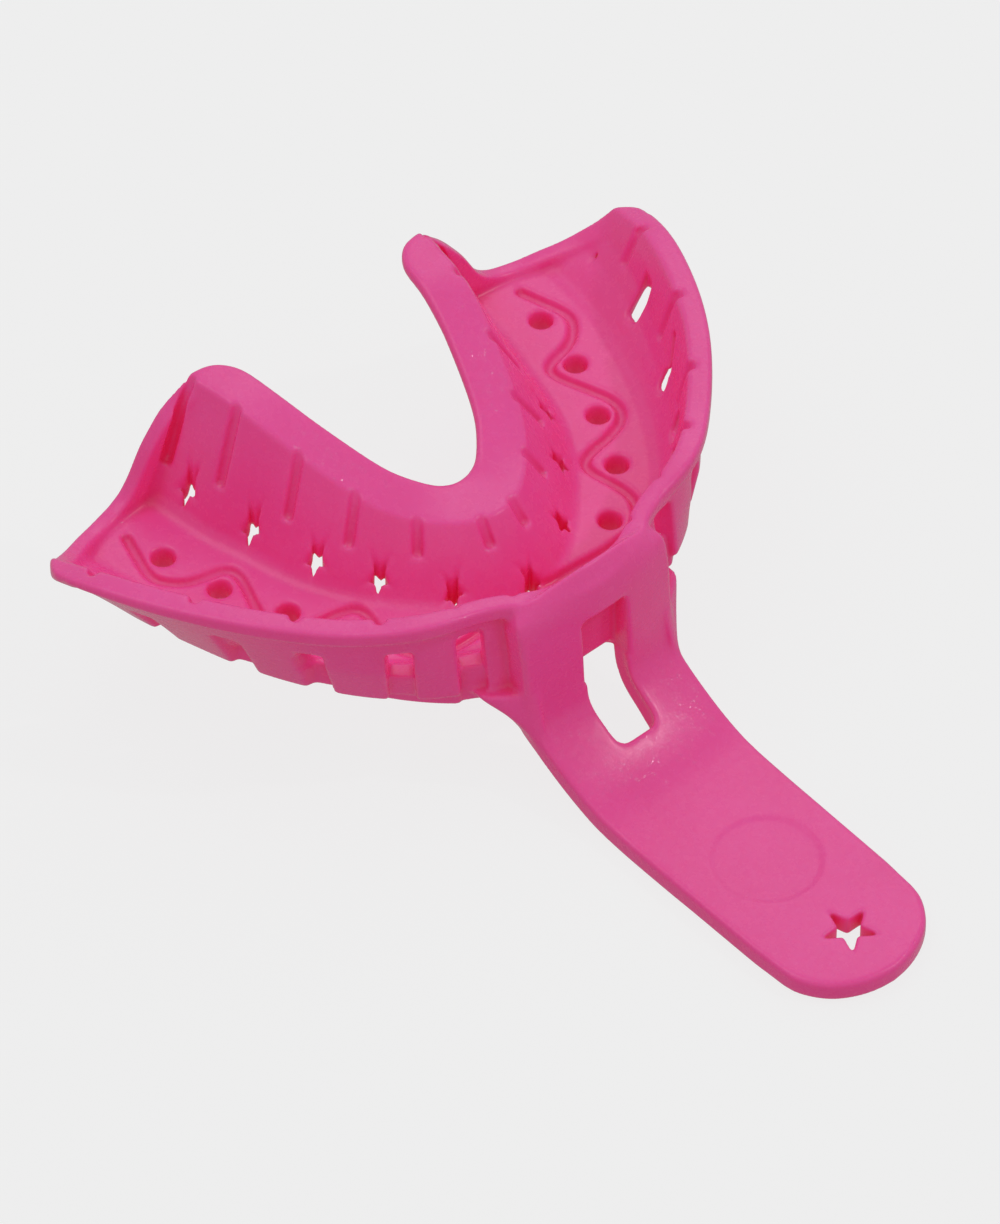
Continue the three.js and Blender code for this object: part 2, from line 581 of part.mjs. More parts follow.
function windowCuts() {
  const { half, top, halfEnd, backY, endY } = WINDOW;
  const legCut = new THREE.BoxGeometry(2 * half, backY + 20, top + 3.2);
  legCut.translate(0, (backY - 20) / 2, (top - 3.2) / 2);
  const plan = [[half, backY + 0.6], [half, -10.5], [halfEnd, endY + 0.5], [halfEnd - 0.5, endY]];
  return [fromGeometry(legCut), prism([...plan, ...mirror(plan).reverse()], -20, -2.3)];
}

function gripRecess() {
  const { x, y, radius, depth } = GRIP_RECESS;
  return uprightCylinder(x, y, GRIP_TOP_Z - depth + 1, radius, 2, 32);
}

// ---------------------------------------------------------------- assembly
const bothSides = (rows, make) => rows.flatMap((row) => SIDES.map((side) => make(row, side)));
const addAll = (body, parts) => parts.reduce((sum, part) => sum.add(part), body);
const cutAll = (body, parts) => parts.reduce((rest, part) => rest.subtract(part), body);

function moulding() {
  let tray = addAll(arch(), SIDES.map(lip));
  tray = cutAll(tray, SIDES.map(endTrim));
  tray = tray.add(handle());
  tray = cutAll(tray, bothSides(FRONT_SLOTS, frontSlot).flat());
  tray = cutAll(tray, bothSides(SIDE_SLOTS, sideSlot).flat());
  tray = addAll(tray, [frontBlock(), ...SIDES.map(gusset)]);
  const [centreStar, ...sideStars] = STARS;
  tray = cutAll(tray, [
    ...bothSides(FLOOR_HOLES, ([x, y], side) =>
      uprightCylinder(side * x, y, -1, FLOOR_HOLE_RADIUS, 8, 16)),
    starHole(centreStar, 1),
    ...bothSides(sideStars, starHole),
    prism(starOutline(GRIP_STAR.x, GRIP_STAR.y, GRIP_STAR.radius, Math.PI / 2), -16, -9),
    ...bothSides(INNER_GROOVES, innerGroove),
    ...bothSides(OUTER_GROOVES, outerGroove),
    ...bothSides(SLOT_GROOVES, slotGroove),
    ...SIDES.map(track),
    ...windowCuts(),
    gripRecess(),
  ]);
  // Keep the largest body, drop loose slivers.
  return tray.decompose().sort((a, b) => b.volume() - a.volume())[0];
}

function toGeometry(body) {
  const { vertProperties, triVerts } = body.getMesh();
  const geometry = new THREE.BufferGeometry();
  const positions = Float32Array.from(vertProperties);
  geometry.setAttribute("position", new THREE.BufferAttribute(positions, 3));
  geometry.setIndex(new THREE.BufferAttribute(Uint32Array.from(triVerts), 1));
  geometry.computeBoundingBox();
  const { min, max } = geometry.boundingBox;
  geometry.translate(0, -(min.y + max.y) / 2, -min.z);
  geometry.computeVertexNormals();
  return geometry;
}

const pinkPlastic = new THREE.MeshStandardMaterial({
  color: 0xdb5796,
  roughness: 0.42,
  metalness: 0,
});
const mesh = new THREE.Mesh(toGeometry(moulding()), pinkPlastic);
mesh.name = "tray_moulding";
const root = new THREE.Group();
root.name = "impression_tray";
root.add(mesh);
export default root;
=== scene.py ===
# Dental impression tray: one injection moulding in pink plastic, mirrored about X = 0.
# The arch lies round the origin with its closed front towards -Y and its two arms towards +Y.
# Its trough opens upwards (+Z). A leg drops from the front of the arch and turns into a flat
# grip that runs out to -Y. Section outlines are lofted into distance fields (negative inside),
# blended and cut with small radii, then meshed. The shape is worked out in millimetres.
import math
from types import SimpleNamespace

import bpy
import numpy as np
import openvdb as vdb
from mathutils import Matrix, Vector
from mathutils.geometry import tessellate_polygon


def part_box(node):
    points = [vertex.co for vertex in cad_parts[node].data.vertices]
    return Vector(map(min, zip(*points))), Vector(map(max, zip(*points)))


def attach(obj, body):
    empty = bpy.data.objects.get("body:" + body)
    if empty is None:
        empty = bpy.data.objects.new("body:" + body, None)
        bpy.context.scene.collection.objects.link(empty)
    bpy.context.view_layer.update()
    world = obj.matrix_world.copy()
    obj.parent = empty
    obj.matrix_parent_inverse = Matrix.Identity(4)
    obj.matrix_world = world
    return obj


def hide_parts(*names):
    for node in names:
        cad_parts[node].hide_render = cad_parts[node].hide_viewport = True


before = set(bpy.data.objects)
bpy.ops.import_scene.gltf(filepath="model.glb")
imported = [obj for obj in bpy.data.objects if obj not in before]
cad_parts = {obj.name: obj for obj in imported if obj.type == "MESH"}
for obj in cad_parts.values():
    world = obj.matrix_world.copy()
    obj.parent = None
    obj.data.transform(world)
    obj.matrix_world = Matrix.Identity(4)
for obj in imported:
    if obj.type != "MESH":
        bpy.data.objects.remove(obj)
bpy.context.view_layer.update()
NODE = "tray_moulding"

STEP = 0.22      # grid step of the distance fields
BAND = 8                                 # cells of true distance either side of a surface
SIDES = (1, -1)                          # +X, then its mirror

# ------------------------------------------------------------------ arch tables
# Stations run from 0 at the front to 8 at the end of an arm. The spine gives x, y and heading
# (degrees). The section values are distances outward from the spine, or heights (*_z).
STATIONS = [0, 1, 2, 3, 4, 5, 6, 7, 7.3, 7.6, 8]
SPINE_X = [0, 4.4, 8.8, 13.2, 17.4, 20.8, 23.6, 25.4, 25.6, 25.8, 26.0]
SPINE_Y = [-4.4, -3.6, -1.4, 2.2, 6.8, 13.3, 20.3, 27.4, 29.9, 32.6, 36.5]
HEADING = [0, 12.0, 25.1, 39.6, 52.2, 61.2, 67.7, 77.8, 81.4, 85.2, 90]
SECTION = dict(
    # inner flange
    tip=[-15.2, -14.9, -14.35, -14.1, -14.4, -14.65, -15.0, -15.1, -15.0, -14.85, -14.7],
    tip_z=[7.0, 7.1, 7.5, 8.15, 9.2, 11.15, 13.2, 14.1, 14.1, 14.1, 14.0],
    root=[-9.2, -9.2, -9.1, -9.1, -9.6, -10.0, -10.4, -10.6, -10.5, -10.2, -9.9],
    root_z=[6.9, 6.9, 6.95, 7.2, 8.2, 10.3, 12.9, 14.1, 14.1, 14.1, 14.0],
    # trough walls at HIGH_Z, at LOW_Z and at the floor
    in_high=[-6.8, -6.8, -6.85, -6.85, -6.8, -6.3, -6.6, -6.56, -6.55, -6.3, -6.0],
    in_low=[-4.4, -4.4, -4.65, -4.85, -4.9, -4.6, -5.35, -5.42, -5.4, -5.1, -4.7],
    in_floor=[-3.0, -3.0, -3.2, -3.4, -3.5, -3.2, -3.9, -3.9, -3.9, -3.6, -3.2],
    out_floor=[1.6, 1.7, 2.1, 3.2, 3.6, 4.1, 4.3, 4.4, 4.4, 4.4, 4.4],
    out_low=[3.0, 3.0, 3.3, 4.7, 5.4, 6.1, 6.4, 6.6, 6.7, 6.8, 6.9],
    out_high=[3.7, 3.6, 3.7, 5.5, 6.5, 7.9, 8.8, 9.8, 10.2, 10.8, 11.6],
    # outer rim: inner edge, outer edge, top, thickness
    rim_in=[3.9, 3.6, 3.5, 6.1, 7.2, 9.2, 10.4, 11.5, 11.9, 12.2, 12.4],
    rim_out=[6.3, 5.8, 5.6, 8.5, 9.7, 11.7, 13.0, 14.0, 14.4, 14.8, 15.0],
    rim_z=[9.0, 9.0, 9.4, 10.0, 9.6, 9.9, 9.5, 8.2, 7.2, 6.0, 5.0],
    rim_t=[1.5, 1.5, 1.5, 1.5, 1.5, 1.45, 1.2, 0.75, 0.5, 0.3, 0.2],
    # foot of the outer wall, and the base under it
    skirt=[5.2, 5.4, 6.5, 7.6, 7.6, 7.8, 7.4, 7.35, 7.35, 7.35, 7.35],
    base=[4.9, 5.2, 6.45, 6.3, 5.4, 5.0, 4.9, 4.9, 4.9, 4.9, 4.9],
    base_z=[-3.2, -3.2, -3.2, -3.1, -2.95, -2.85, -2.8, -2.8, -2.8, -2.7, -2.6],
)
HIGH_Z, LOW_Z = 4, 1.1
RIM_LIP, FLANGE_T, WALL, SKIRT_Z = 0.85, 1.3, 1.7, -1.2

# plan of an arm's end, x and y, from its inner side round to its outer side
END_PLAN = [
    (9.3, 26.0), (10.05, 29.3), (10.75, 31.6), (11.8, 33.5), (13.0, 34.5), (14.4, 34.8),
    (15.8, 34.85), (17.1, 35.55), (18.5, 35.95), (21.0, 36.1), (23.5, 36.1), (26.0, 35.8),
    (28.6, 35.2), (31.2, 34.25), (33.6, 33.1), (35.7, 31.8), (37.7, 30.15), (38.9, 28.55),
    (39.35, 27.2), (39.0, 25.0)]
END_INNER_LEAD = [[3.0, 12.0], [7.1, 19.9], [8.8, 23.8]]
END_OUTER_LEAD = [[39.3, 25.5], [38.9, 23.0], [38.0, 19.5], [36.5, 15.0]]
# top of the lip that closes the trough there, z over x
LIP_X = [15.4, 17.1, 18.3, 19.3, 20.3, 21.3, 22.1, 22.9, 23.9, 25.4, 27.0, 28.6, 31.1, 33.5,
         36.5, 39.5]
LIP_Z = [13.3, 11.7, 10.5, 9.3, 7.9, 6.4, 4.9, 3.4, 2.1, 1.15, 0.85, 0.85, 1.4, 2.2, 4.4, 7.3]
LIP_W = 1.7

# ------------------------------------------------------------------ tables of cuts
HOLES = [(25.5, 27.4), (24.0, 20.3), (20.9, 13.3), (17.7, 6.8), (12.0, 1.4)]
HOLE_R = 1.25
# stars through the floor: x, y, heading
STARS = [(0, 0.1, 0), (7.2, 3.6, 27.2), (12.06, 9.42, 50), (15.42, 15.24, 60.4),
         (17.6, 22.6, 67.7), (19.1, 30.7, 81.4)]
STAR_R = 1.72
# station, lowest point
INNER_GROOVES = [(0.82, 4.9), (2.95, 4.6), (4.38, 4.8), (5.42, 5.65), (6.72, 5.85), (7.7, 5.0)]
OUTER_GROOVES = [1.5, 2.5, 3.5, 4.52, 5.7, 6.95]
# both ends as station, distance from the spine, height
SLANTED_GROOVES = [((5.34, 8.9, 6.8), (5.14, 7.9, 3.4)), ((3.62, 6.9, 7.6), (3.93, 6.1, 2.1))]
GROOVE_W = 1.25
# Slots of the outer wall: station; width, top and depth of the outer recess; bottom and top of
# the opening into the trough. Side slots add: half width of the opening along Y, furthest reach,
# Y shift of the recess, Y shift and tilt of the opening, wall left over the trough.
SLOT_REACH = 20
SLOTS = [
    (2.27, 3.0, 6.4, 0.95, 1.2, 5.5, None),
    (3.23, 2.9, 6.1, 0.95, 1.5, 5.4, None),
    (4.24, 2.9, 5.3, 1.0, 1.6, 4.6, (0.75, SLOT_REACH, 0.3, -1.0, 0, 0.7)),
    (5.12, 3.0, 5.2, 1.0, 1.5, 3.2, (0.7, SLOT_REACH, 0.9, -0.1, -0.22, 0.7)),
    (6.33, 2.6, 4.4, 1.0, 1.6, 6.3, (0.98, 10.3, 0, 0, 0, 1.0)),
    (7.3, 1.1, 2.4, 0.7, 1.9, 2.7, (0.32, SLOT_REACH, 0, 0, 0, 1.0))]
# weaving line in the trough floor, x and y
TRACK = [
    (26.6, 31.8), (27.2, 29.8), (28.3, 26.3), (27.6, 24.6), (25.6, 22.8), (21.7, 22.1),
    (21.2, 20.5), (22.4, 17.2), (23.6, 13.9), (23.0, 11.6), (20.3, 10.3), (15.9, 9.8),
    (14.9, 8.3), (15.6, 5.6), (16.1, 2.2), (13.9, -1.0), (9.6, -1.6), (4.0, -1.0), (0, -1.2)]
TRACK_W, TRACK_DEPTH = 1.3, 0.8

# ------------------------------------------------------------------ leg and grip tables
# y and z of the front and upper face, half width, bulge of the middle
GRIP = [
    (-7.7, 8.6, 8.9, 2.6), (-8.7, 8.0, 9.4, 2.1), (-9.3, 7.0, 9.7, 1.8), (-9.7, 5.2, 9.7, 1.6),
    (-10.1, 2.2, 9.65, 1.45), (-10.45, -0.9, 9.6, 1.3), (-10.8, -3.6, 9.5, 1.15),
    (-11.25, -5.5, 9.45, 1.05), (-12.2, -6.7, 9.4, 0.95), (-14.0, -7.85, 9.35, 0.85),
    (-16.3, -9.05, 9.3, 0.65), (-18.3, -9.9, 9.25, 0.4), (-20.9, -10.75, 9.2, 0.15),
    (-24.0, -11.2, 9.1, 0), (-27.0, -11.3, 9.05, 0), (-36.0, -11.3, 8.95, 0),
    (-46.5, -11.3, 8.8, 0)]
GRIP_FLAT_ROW = 13                       # the flat part starts at this row
GRIP_FLAT_STOPS = 12
GRIP_T = 2.3
# plan of the grip's free end, x and y
GRIP_END = [(8.9, -46.5), (8.68, -48.25), (8.2, -49.7), (7.15, -51.35), (5.9, -52.6),
            (4.0, -53.7), (1.95, -54.35), (0, -54.55)]
GRIP_STAR, GRIP_STAR_R = (0.0, -47.9), 3.1
RECESS_Y, RECESS_R, RECESS_DEPTH = -35.8, 5.6, 0.16
WIN_HALF, WIN_END_HALF, WIN_TOP, WIN_END_Y, WIN_BACK_Y = 2.98, 2.75, 5.4, -16.7, -9.35
# slanting outer edge of the gussets, x over z
GUSSET_Z = [-9.0, -7.6, -6.4, -5.1, -3.9, -3.2, -2.4, -1.5]
GUSSET_X = [8.7, 9.4, 9.8, 10.4, 11.15, 11.7, 12.4, 13.1]


# ------------------------------------------------------------------ curves
def curve(knots, values, x):
    """Cubic curve through knots with finite-difference slopes."""
    knots, values = np.asarray(knots, float), np.asarray(values, float)
    x = np.clip(np.asarray(x, float), knots[0], knots[-1])
    gap = np.diff(knots)
    rise = np.diff(values) / gap
    slope = np.empty(len(knots))
    slope[0], slope[-1] = rise[0], rise[-1]
    slope[1:-1] = (rise[:-1] * gap[1:] + rise[1:] * gap[:-1]) / (gap[1:] + gap[:-1])
    i = np.clip(np.searchsorted(knots, x, "right") - 1, 0, len(knots) - 2)
    t = (x - knots[i]) / gap[i]
    t2, t3 = t * t, t * t * t
    return ((2 * t3 - 3 * t2 + 1) * values[i] + (t3 - 2 * t2 + t) * slope[i] * gap[i]
            + (3 * t2 - 2 * t3) * values[i + 1] + (t3 - t2) * slope[i + 1] * gap[i])


def smoothed(values, offsets):
    """Gaussian smoothing; offsets are the sample places in units of the spread."""
    reach = len(offsets) // 2
    kernel = np.exp(-0.5 * offsets ** 2)
    kernel /= kernel.sum()
    before = 2 * values[0] - values[reach:0:-1]
    after = 2 * values[-1] - values[-2:-reach - 2:-1]
    return np.convolve(np.concatenate([before, values, after]), kernel, "valid")


def rounded(corners, radii, samples=5):
    """Turns each corner of closed outlines (outline, corner, 2) into a small curve."""
    p = np.asarray(corners, float)
    back, ahead = np.roll(p, 1, 1) - p, np.roll(p, -1, 1) - p
    back_len = np.linalg.norm(back, axis=2, keepdims=True)
    ahead_len = np.linalg.norm(ahead, axis=2, keepdims=True)
    back, ahead = back / np.maximum(back_len, 1e-9), ahead / np.maximum(ahead_len, 1e-9)
    cosine = np.clip((back * ahead).sum(2, keepdims=True), -0.9999, 0.9999)
    trim = np.asarray(radii, float)[None, :, None] / np.tan(np.arccos(cosine) / 2)
    trim = np.minimum(trim, 0.497 * np.minimum(back_len, ahead_len))
    start, end = (p + back * trim)[:, :, None], (p + ahead * trim)[:, :, None]
    t = np.linspace(0, 1, samples)[None, None, :, None]
    bend = (1 - t) ** 2 * start + 2 * t * (1 - t) * p[:, :, None] + t ** 2 * end
    return bend.reshape(p.shape[0], -1, 2)


def eased_line(points, samples=6):
    """An open plan line with its corners eased."""
    p = np.asarray(points, float)
    out = [p[0]]
    for i in range(1, len(p) - 1):
        start, end = (p[i - 1] + p[i]) / 2, (p[i] + p[i + 1]) / 2
        for t in np.linspace(0, 1, samples):
            out.append((1 - t) ** 2 * start + 2 * t * (1 - t) * p[i] + t * t * end)
    out.append(p[-1])
    return np.array(out)


# ------------------------------------------------------------------ stations of the arch
FINE_GAP = 0.025
FINE = np.linspace(-8, 8, 641)           # fine stations over both arms; negative is the -X arm
FLAT = np.zeros_like(FINE)


def spread(values, mirror=1):
    """A table sampled over both arms, with the joints between its knots smoothed."""
    knots = [-u for u in STATIONS[:0:-1]] + STATIONS
    both = [mirror * v for v in values[:0:-1]] + list(values)
    return smoothed(curve(knots, both, FINE), np.arange(-16, 17) * FINE_GAP / 0.16)


spine_x, spine_y = spread(SPINE_X, -1), spread(SPINE_Y)
heading = np.radians(spread(HEADING, -1))
sec = SimpleNamespace(**{name: spread(values) for name, values in SECTION.items()})


def at_station(values, u):
    return float(np.interp(u, FINE, values + FLAT))


def station(u):
    return at_station(spine_x, u), at_station(spine_y, u), at_station(heading, u)


def place(u, out, z):
    """The point at a station, a distance outward from the spine and a height."""
    x, y, angle = station(u)
    return np.array([x + out * math.sin(angle), y - out * math.cos(angle), z])


# ------------------------------------------------------------------ fields
GRID_LO, GRID_HI = np.array([-42.0, -56.5, -15.5]), np.array([42.0, 38.5, 16.5])
FIRST = np.floor(GRID_LO / STEP).astype(int)
COUNT = np.ceil((GRID_HI - GRID_LO) / STEP).astype(int) + 1
AXES = [(FIRST[k] + np.arange(COUNT[k])) * STEP for k in range(3)]
FIRST_CELL = tuple(int(v) for v in FIRST)


def loft(rings):
    """Distance field of the closed body through a row of rings."""
    rings = np.asarray(rings, float)
    rows, n = rings.shape[:2]
    index = np.arange(rows * n).reshape(rows, n)
    turned = np.roll(index, -1, 1)
    quads = np.stack([index[:-1], turned[:-1], turned[1:], index[1:]], -1).reshape(-1, 4)
    caps = []
    for row in (0, rows - 1):
        for face in tessellate_polygon([[Vector(p) for p in rings[row]]]):
            caps.append([row * n + i for i in face])
    grid = vdb.FloatGrid.createLevelSetFromPolygons(
        np.ascontiguousarray(rings.reshape(-1, 3), np.float32),
        triangles=np.ascontiguousarray(np.array(caps), np.uint32),
        quads=np.ascontiguousarray(quads, np.uint32),
        transform=vdb.createLinearTransform(voxelSize=STEP), exBandWidth=BAND, inBandWidth=BAND)
    cells = np.full(tuple(COUNT), BAND * STEP, np.float32)
    grid.copyToArray(cells, ijk=FIRST_CELL)
    return cells


def soft_max(a, b, soft):
    h = np.maximum(soft - np.abs(a - b), 0) / soft
    return np.maximum(a, b) + h * h * (soft / 4)


def soft_min(a, b, soft):
    return -soft_max(-a, -b, soft)


def window(lo, hi, side=1):
    """Slices and X, Y, Z coordinates of a box of the grid; side -1 mirrors the box in X."""
    if side < 0:
        lo, hi = (-hi[0], *lo[1:]), (-lo[0], *hi[1:])
    box = []
    for k in range(3):
        start = int(np.clip(math.floor(lo[k] / STEP) - FIRST[k], 0, COUNT[k] - 1))
        stop = int(np.clip(math.ceil(hi[k] / STEP) - FIRST[k] + 1, 1, COUNT[k]))
        box.append(slice(start, stop))
    return (tuple(box), AXES[0][box[0]][:, None, None], AXES[1][box[1]][None, :, None],
            AXES[2][box[2]][None, None, :])


def carve(box, shape, soft):
    """Cuts a shape out of the tray."""
    tray[box] = soft_max(tray[box], -shape.astype(np.float32), soft)


def line_distance(points, x, y):
    """Distance to an open line, and the side of its nearest piece (positive on the left)."""
    p = np.asarray(points, float)
    best = np.full(np.broadcast(x, y).shape, 1e9)
    side = np.ones_like(best)
    for a, b in zip(p[:-1], p[1:]):
        ab = b - a
        length = np.hypot(*ab)
        if length < 1e-9:
            continue
        t = np.clip(((x - a[0]) * ab[0] + (y - a[1]) * ab[1]) / length ** 2, 0, 1)
        dx, dy = x - a[0] - t * ab[0], y - a[1] - t * ab[1]
        distance = np.hypot(dx, dy)
        nearer = distance < best - 1e-9
        best = np.where(nearer, distance, best)
        side = np.where(nearer, np.sign(ab[0] * dy - ab[1] * dx + 1e-12), side)
    return best, side


def polygon_field(points, x, y):
    """Signed plan distance to a closed outline, negative inside."""
    p = np.asarray(points, float)
    distance = line_distance(np.vstack([p, p[:1]]), x, y)[0]
    inside = np.zeros(distance.shape, bool)
    for a, b in zip(p, np.roll(p, -1, 0)):
        crossing = (b[0] - a[0]) * (y - a[1]) / (b[1] - a[1] + 1e-12) + a[0]
        inside ^= ((a[1] > y) != (b[1] > y)) & (x < crossing)
    return np.where(inside, -distance, distance)


# ------------------------------------------------------------------ arch
# middle of the outer face, drawn in along the arms and swelling at station 3.6
face_mid = ((sec.rim_out - RIM_LIP + sec.skirt) / 2
            - np.maximum(0, np.abs(FINE) - 6.6) * 0.5)
face_mid = face_mid + 0.5 * np.exp(-((np.abs(FINE) - 3.6) / 0.7) ** 2)
# the underside is heavier at the front: 1 there, fading to 0 at station 4.6
heavy = np.clip((4.6 - np.abs(FINE)) / 2.2, 0, 1)
heavy = heavy * heavy * (3 - 2 * heavy)

# section corners: distance from the spine, height, corner radius
TROUGH_INNER = [
    (sec.root, sec.root_z, 0.5),
    (sec.in_high, HIGH_Z, 3.0),
    (sec.in_high * 0.35 + sec.in_low * 0.65, 2.15, 1.5),
    (sec.in_low, LOW_Z, 1.5),
    ((sec.in_low + sec.in_floor) / 2 - 0.1, 0.3, 1.5),
    (sec.in_floor, 0, 1.5)]
TROUGH_OUTER = [
    (sec.out_floor, 0, 1.5),
    ((sec.out_floor + sec.out_low) / 2, 0.28, 2.0),
    (sec.out_low, LOW_Z, 2.0),
    ((sec.out_low + sec.out_high) / 2 + 0.2, 2.35, 2.0),
    (sec.out_high, HIGH_Z, 2.5),
    (sec.out_high * 0.45 + sec.rim_in * 0.55, HIGH_Z + (sec.rim_z - 4.2) * 0.6, 2.5)]
RIM_TOP = [(sec.rim_in + 0.05, sec.rim_z, 0.55)]
RIM_EDGE = [
    (sec.rim_out - 0.08, sec.rim_z, 0.38),
    (sec.rim_out, sec.rim_z - sec.rim_t, 0.35)]
OUTER_FACE = [
    (sec.rim_out - RIM_LIP, sec.rim_z - sec.rim_t - 0.5, 0.7),
    (face_mid, (sec.rim_z - 3) / 2, 4.0),
    (sec.skirt, SKIRT_Z, 0.35)]
UNDERSIDE = [
    (sec.base, SKIRT_Z - 0.4, 0.3),
    (sec.base, sec.base_z, 0.4),
    (sec.in_floor + 0.3, sec.base_z, 0.9),
    (sec.in_low - 0.7 - 0.5 * heavy, -0.3 - 1.9 * heavy, 1.2),
    (sec.in_low - WALL - 1.0 * heavy, 1.5 - 0.9 * heavy, 1.2),
    (sec.in_high - WALL - 0.5 * heavy, 3.8 - 0.5 * heavy, 1.5),
    (sec.root - WALL - 0.1, sec.root_z - FLANGE_T, 1.0),
    (sec.tip, sec.tip_z - FLANGE_T, 0.5),
    (sec.tip + 0.05, sec.tip_z, 0.6)]
# straight top above the grid's own top, for the same body with its trough filled
FILLED_TOP = [(sec.tip + 0.05, 17, 0.5), (sec.rim_out - 0.12, 17, 0.5)]


def arch(corners):
    """Lofts a section along the spine and a little past both ends."""
    outline = np.stack([np.stack([out + FLAT, z + FLAT], -1) for out, z, _ in corners], 1)
    outline = rounded(outline, [radius for _, _, radius in corners])
    sine, cosine = np.sin(heading)[:, None], np.cos(heading)[:, None]
    rings = np.stack([spine_x[:, None] + outline[:, :, 0] * sine,
                      spine_y[:, None] - outline[:, :, 0] * cosine, outline[:, :, 1]], -1)
    past = np.array([0, 1.2, 0])
    return loft(np.concatenate([rings[:1] + past, rings, rings[-1:] + past]))


shell = OUTER_FACE + UNDERSIDE
tray = arch(TROUGH_INNER + TROUGH_OUTER + RIM_TOP + RIM_EDGE + shell)
filled = arch(FILLED_TOP + RIM_EDGE + shell)

# ends of the arms: a lip closes the trough, then the plan outline trims the end
end_line = np.vstack([END_INNER_LEAD, eased_line(END_PLAN)[:-1], END_OUTER_LEAD])
for s in SIDES:
    w, X, Y, Z = window((6, 19, -6), (42, 38.4, 16.4), s)
    distance, left = line_distance(end_line, s * X, Y)
    beyond = distance * left             # positive beyond the end line
    lip_top = curve(LIP_X, LIP_Z, s * X)
    lip = soft_max(-beyond - LIP_W, (Z - lip_top) * 0.85, 0.5)
    # fades the lip out towards the inner side and in front of the end
    fade = np.where(Y > 26.5, 3.0 * np.clip((16.2 - s * X) / 1.6, 0, 1), 5.0)
    lip = soft_max(lip, filled[w], 0.3) + fade
    tray[w] = soft_max(soft_min(tray[w], lip.astype(np.float32), 0.9), beyond, 0.55)
del filled


# ------------------------------------------------------------------ leg and grip
def grip_body():
    """Field of the leg and grip, and the line of their front and upper face in Y and Z."""
    rows = np.array(GRIP)
    run = np.concatenate([[0], np.cumsum(np.hypot(np.diff(rows[:, 0]), np.diff(rows[:, 1])))])
    flat_start = run[GRIP_FLAT_ROW]
    stops = np.concatenate([np.arange(0, flat_start, 0.35),
                            np.linspace(flat_start, run[-1], GRIP_FLAT_STOPS)])
    y, z, half_width, bulge = (curve(run, rows[:, k], stops) for k in range(4))
    bulge = np.maximum(bulge, 0)
    for line in (y, z):
        line[:-GRIP_FLAT_STOPS] = smoothed(line, np.arange(-4, 5) / 2.0)[:-GRIP_FLAT_STOPS]
    dy, dz = np.gradient(y), np.gradient(z)
    length = np.hypot(dy, dz)
    normal_y, normal_z = -dz / length, dy / length
    across = np.linspace(-1, 1, 25)
    radii = [0.34 if j in (0, 24, 25, 49) else 0.01 for j in range(50)]
    rings = []
    for i in range(len(stops)):
        crown = bulge[i] * (1 - across ** 2)
        upper = [(f * half_width[i], -c) for f, c in zip(across, crown)]
        lower = [(f * half_width[i], GRIP_T - c) for f, c in zip(across[::-1], crown[::-1])]
        ring = rounded(np.array([upper + lower]), radii, 4)[0]
        rings.append([(x, y[i] + v * normal_y[i], z[i] + v * normal_z[i]) for x, v in ring])
    rings.append(np.array(rings[-1]) + np.array([0, -11.0, 0]))
    body = loft(rings)
    # trim the free end to its plan
    plan = eased_line([(9.4, -43.0)] + GRIP_END)
    plan = np.vstack([[9.4, -20.0], plan, (plan * [-1, 1])[::-1], [-9.4, -20.0]])
    w, X, Y, _ = window((-12, -56.4, -15.4), (12, -24, -8))
    trim = np.where(Y > -44, -3.0, polygon_field(plan, X, Y))
    body[w] = soft_max(body[w], trim.astype(np.float32), 0.7)
    return body, np.stack([y, z], 1)


def backing_body():
    """Block behind the leg, joining it to the arch."""
    rings = []
    across = np.linspace(-1, 1, 17)
    for z in np.linspace(-2.9, 7.6, 12):
        lean = np.interp(z, [-2.9, 4, 7.6], [-0.29, 0, 1.08])
        front = [(f * 9.45, -9.9 - (1 - f * f) + lean, z) for f in across]
        back = [(f * 9.3, -6.6 - 1.6 * (1 - f * f), z) for f in across[::-1]]
        rings.append(front + back)
    return loft(rings)


# ------------------------------------------------------------------ slots of the outer wall
def wall_at(corners, u):
    """Heights and distances of section corners at a station, for interpolation."""
    return [at_station(z, u) for _, z, _ in corners], [at_station(d, u) for d, _, _ in corners]


